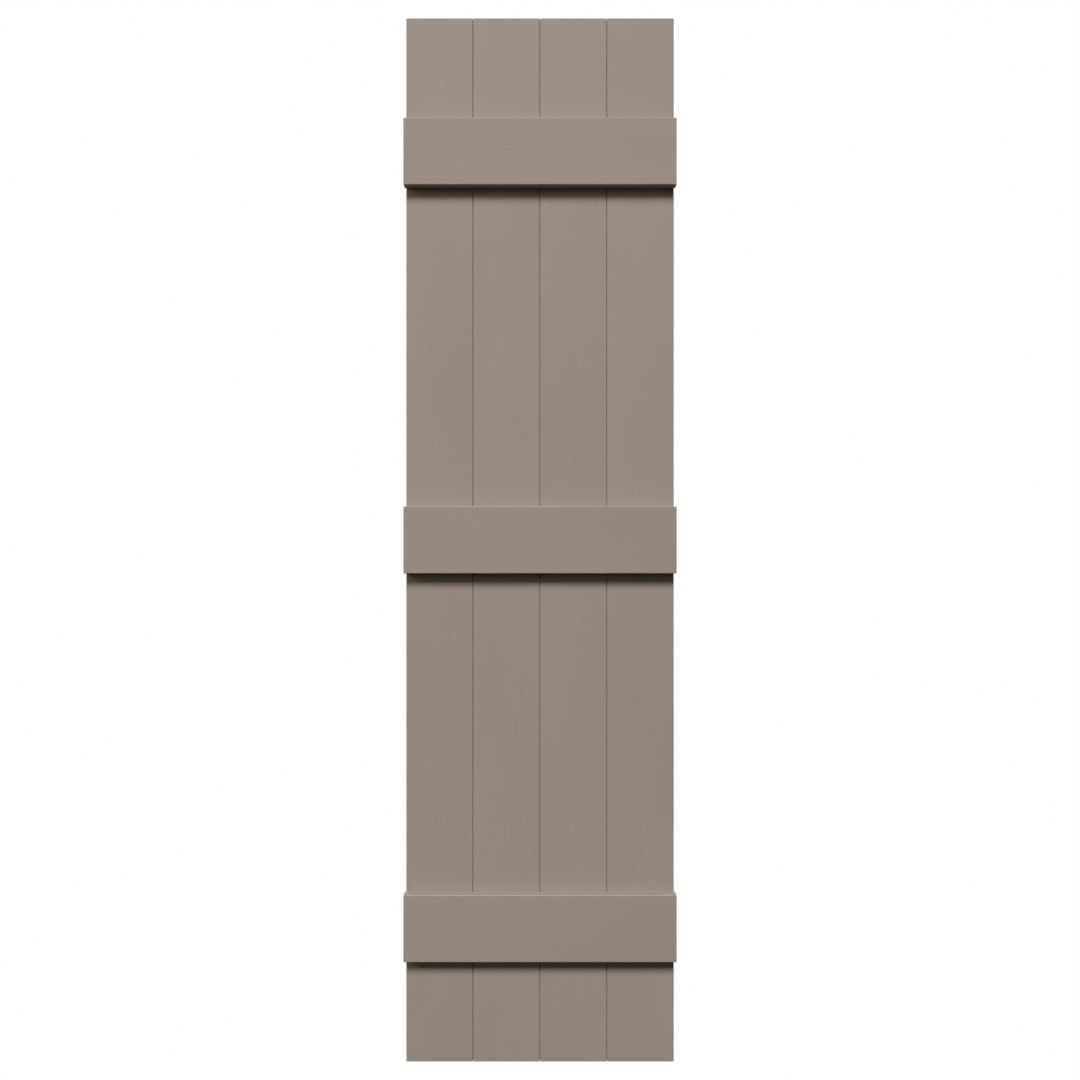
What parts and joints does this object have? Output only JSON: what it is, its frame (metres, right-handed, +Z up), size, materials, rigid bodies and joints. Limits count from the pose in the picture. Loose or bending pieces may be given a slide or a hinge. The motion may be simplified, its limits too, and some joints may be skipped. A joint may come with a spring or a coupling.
{
  "type": "board and batten shutter",
  "caption": "Flat wall shutter of tall hollow-backed vinyl boards locked edge to edge, with raised horizontal battens across them.",
  "frame": {"origin": "centre of the back, on the plane where the boards' feet bear on the wall", "axes": "+Z up along the boards, +Y back into the wall, so the front faces -Y; +X to the right as seen from the front"},
  "size_m": [0.3632, 0.0286, 1.397],
  "materials": {
    "vinyl": "satin"
  },
  "bodies": {
    "root": {"board_left": "vinyl", "board_centre_left": "vinyl", "board_centre_right": "vinyl", "board_right": "vinyl", "batten_top": "vinyl", "batten_middle": "vinyl", "batten_bottom": "vinyl"}
  },
  "joints": []
}
